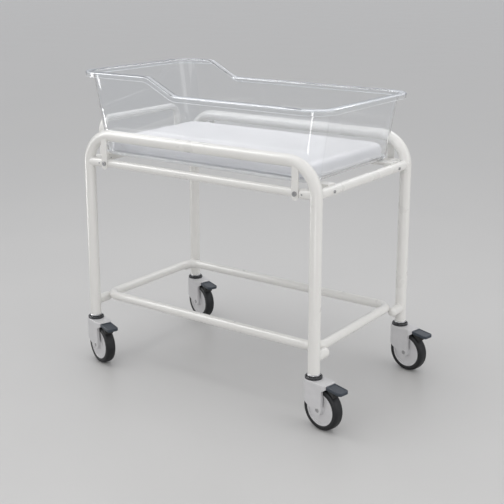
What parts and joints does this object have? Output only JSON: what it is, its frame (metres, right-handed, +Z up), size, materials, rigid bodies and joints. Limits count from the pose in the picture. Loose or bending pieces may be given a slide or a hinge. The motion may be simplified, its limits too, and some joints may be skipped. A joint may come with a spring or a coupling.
{
  "type": "hospital bassinet",
  "caption": "Clear moulded newborn tub with a raised head rim and a flat mattress, resting on a bent tube trolley with swivel casters and brake pedals",
  "frame": {"origin": "On the floor under the middle of the overall bounding box, with the casters trailing as they stand", "axes": "+X runs along the length to the foot end, +Y across to the far side, +Z up; -X is the head end with the high rim and the push bar"},
  "size_m": [1.0006, 0.5987, 0.9443],
  "materials": {
    "coated_tube": "off-white powder coat, satin",
    "rest_plate": "off-white powder coat on bent plate",
    "bright_steel": "bright zinc plated steel",
    "caster_plastic": "light grey moulded nylon, fine grain",
    "tyre_rubber": "near-black rubber tyre",
    "seal_rubber": "dark rubber ring",
    "pedal_plastic": "charcoal moulded plastic",
    "brake_lining": "dark moulded brake lining",
    "clear_tub": "clear moulded acrylic, glossy",
    "mattress_cover": "white wipe-clean coated fabric over foam"
  },
  "bodies": {
    "frame": {"side_frame_near": "coated_tube", "side_frame_far": "coated_tube", "side_rail_near": "coated_tube", "side_rail_far": "coated_tube", "rail_sockets": "coated_tube", "socket_set_screws": "bright_steel", "cross_rail_head": "coated_tube", "cross_rail_foot": "coated_tube", "lower_ring": "coated_tube", "ring_stub_head_near": "coated_tube", "ring_stub_head_far": "coated_tube", "ring_stub_foot_near": "coated_tube", "ring_stub_foot_far": "coated_tube", "strap_head_near": "coated_tube", "strap_head_far": "coated_tube", "strap_foot_near": "coated_tube", "strap_foot_far": "coated_tube", "strap_bolts": "bright_steel", "strap_nuts": "bright_steel", "guard_rail": "coated_tube", "tub_rests": "rest_plate", "rest_screws": "bright_steel", "caster_stem_head_near": "bright_steel", "caster_stem_head_far": "bright_steel", "caster_stem_foot_near": "bright_steel", "caster_stem_foot_far": "bright_steel"},
    "tub": {"tub": "clear_tub"},
    "mattress": {"mattress": "mattress_cover"},
    "swivel_head_near": {"caster_fork_head_near": "caster_plastic", "swivel_race_head_near": "bright_steel", "swivel_seal_head_near": "seal_rubber", "caster_axle_head_near": "bright_steel"},
    "wheel_head_near": {"wheel_hub_head_near": "caster_plastic", "tyre_head_near": "tyre_rubber"},
    "pedal_head_near": {"brake_pedal_head_near": "pedal_plastic", "brake_shoe_head_near": "brake_lining"},
    "swivel_head_far": {"caster_fork_head_far": "caster_plastic", "swivel_race_head_far": "bright_steel", "swivel_seal_head_far": "seal_rubber", "caster_axle_head_far": "bright_steel"},
    "wheel_head_far": {"wheel_hub_head_far": "caster_plastic", "tyre_head_far": "tyre_rubber"},
    "pedal_head_far": {"brake_pedal_head_far": "pedal_plastic", "brake_shoe_head_far": "brake_lining"},
    "swivel_foot_near": {"caster_fork_foot_near": "caster_plastic", "swivel_race_foot_near": "bright_steel", "swivel_seal_foot_near": "seal_rubber", "caster_axle_foot_near": "bright_steel"},
    "wheel_foot_near": {"wheel_hub_foot_near": "caster_plastic", "tyre_foot_near": "tyre_rubber"},
    "pedal_foot_near": {"brake_pedal_foot_near": "pedal_plastic", "brake_shoe_foot_near": "brake_lining"},
    "swivel_foot_far": {"caster_fork_foot_far": "caster_plastic", "swivel_race_foot_far": "bright_steel", "swivel_seal_foot_far": "seal_rubber", "caster_axle_foot_far": "bright_steel"},
    "wheel_foot_far": {"wheel_hub_foot_far": "caster_plastic", "tyre_foot_far": "tyre_rubber"},
    "pedal_foot_far": {"brake_pedal_foot_far": "pedal_plastic", "brake_shoe_foot_far": "brake_lining"}
  },
  "joints": [
    {"name": "tub_lift", "type": "slide", "parent": "frame", "child": "tub", "axis": [0, 0, 1], "range_m": [0, 0.3]},
    {"name": "mattress_lift", "type": "slide", "parent": "tub", "child": "mattress", "axis": [0, 0, 1], "range_m": [0, 0.3]},
    {"name": "swivel_head_near", "type": "hinge", "parent": "frame", "child": "swivel_head_near", "pos_m": [-0.4555, -0.248, 0.145], "axis": [0, 0, 1], "continuous": true},
    {"name": "wheel_head_near", "type": "hinge", "parent": "swivel_head_near", "child": "wheel_head_near", "pos_m": [-0.41936, -0.25974, 0.0625], "axis": [-0.309, -0.9511, 0], "continuous": true},
    {"name": "pedal_head_near", "type": "hinge", "parent": "swivel_head_near", "child": "pedal_head_near", "pos_m": [-0.40795, -0.26345, 0.1315], "axis": [0.309, 0.9511, 0], "range_deg": [0, 5]},
    {"name": "swivel_head_far", "type": "hinge", "parent": "frame", "child": "swivel_head_far", "pos_m": [-0.4555, 0.272, 0.145], "axis": [0, 0, 1], "continuous": true},
    {"name": "wheel_head_far", "type": "hinge", "parent": "swivel_head_far", "child": "wheel_head_far", "pos_m": [-0.41936, 0.26026, 0.0625], "axis": [-0.309, -0.9511, 0], "continuous": true},
    {"name": "pedal_head_far", "type": "hinge", "parent": "swivel_head_far", "child": "pedal_head_far", "pos_m": [-0.40795, 0.25655, 0.1315], "axis": [0.309, 0.9511, 0], "range_deg": [0, 5]},
    {"name": "swivel_foot_near", "type": "hinge", "parent": "frame", "child": "swivel_foot_near", "pos_m": [0.3845, -0.248, 0.145], "axis": [0, 0, 1], "continuous": true},
    {"name": "wheel_foot_near", "type": "hinge", "parent": "swivel_foot_near", "child": "wheel_foot_near", "pos_m": [0.4218, -0.25525, 0.0625], "axis": [-0.1908, -0.9816, 0], "continuous": true},
    {"name": "pedal_foot_near", "type": "hinge", "parent": "swivel_foot_near", "child": "pedal_foot_near", "pos_m": [0.43358, -0.25754, 0.1315], "axis": [0.1908, 0.9816, 0], "range_deg": [0, 5]},
    {"name": "swivel_foot_far", "type": "hinge", "parent": "frame", "child": "swivel_foot_far", "pos_m": [0.3845, 0.272, 0.145], "axis": [0, 0, 1], "continuous": true},
    {"name": "wheel_foot_far", "type": "hinge", "parent": "swivel_foot_far", "child": "wheel_foot_far", "pos_m": [0.4218, 0.26475, 0.0625], "axis": [-0.1908, -0.9816, 0], "continuous": true},
    {"name": "pedal_foot_far", "type": "hinge", "parent": "swivel_foot_far", "child": "pedal_foot_far", "pos_m": [0.43358, 0.26246, 0.1315], "axis": [0.1908, 0.9816, 0], "range_deg": [0, 5]}
  ]
}
